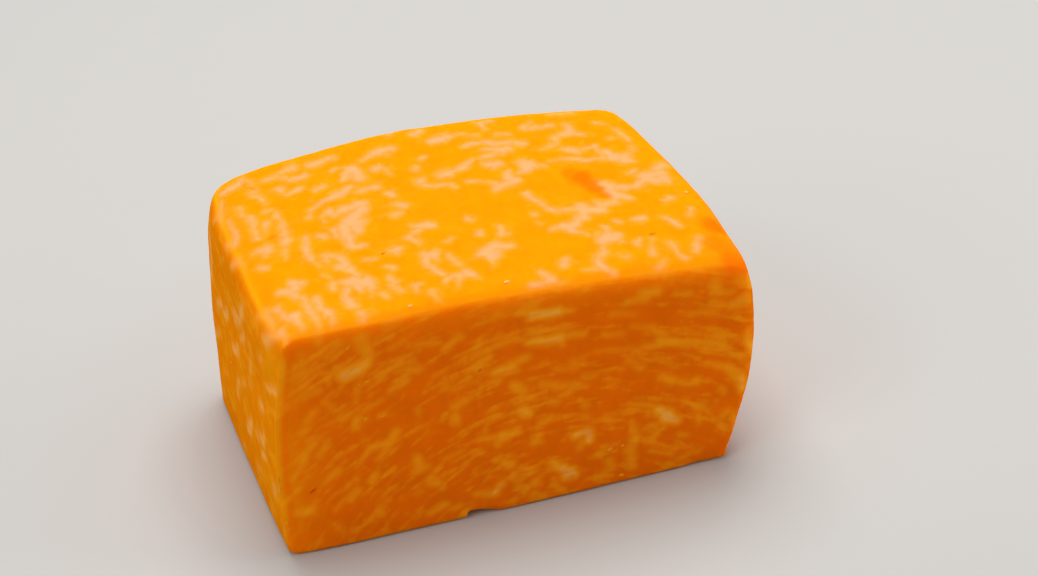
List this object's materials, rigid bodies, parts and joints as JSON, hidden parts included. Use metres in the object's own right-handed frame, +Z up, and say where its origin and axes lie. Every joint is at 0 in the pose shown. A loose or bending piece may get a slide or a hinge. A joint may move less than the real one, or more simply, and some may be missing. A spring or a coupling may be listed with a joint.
{
  "type": "marbled brick cheese",
  "caption": "Brick of semi-hard cheese, orange marbled with pale curd: a soft-edged cut block with a bellied end, resting on its flat foot.",
  "frame": {"origin": "middle of the bounding box, on the plane of the flat foot that the block rests on", "axes": "+X along the long front face to the right, +Y from the front face to the back, +Z up"},
  "size_m": [0.1132, 0.0726, 0.0618],
  "materials": {
    "cheese": "soft satin, orange marbled with pale curd"
  },
  "bodies": {
    "root": {"cheese_brick": "cheese"}
  },
  "joints": []
}
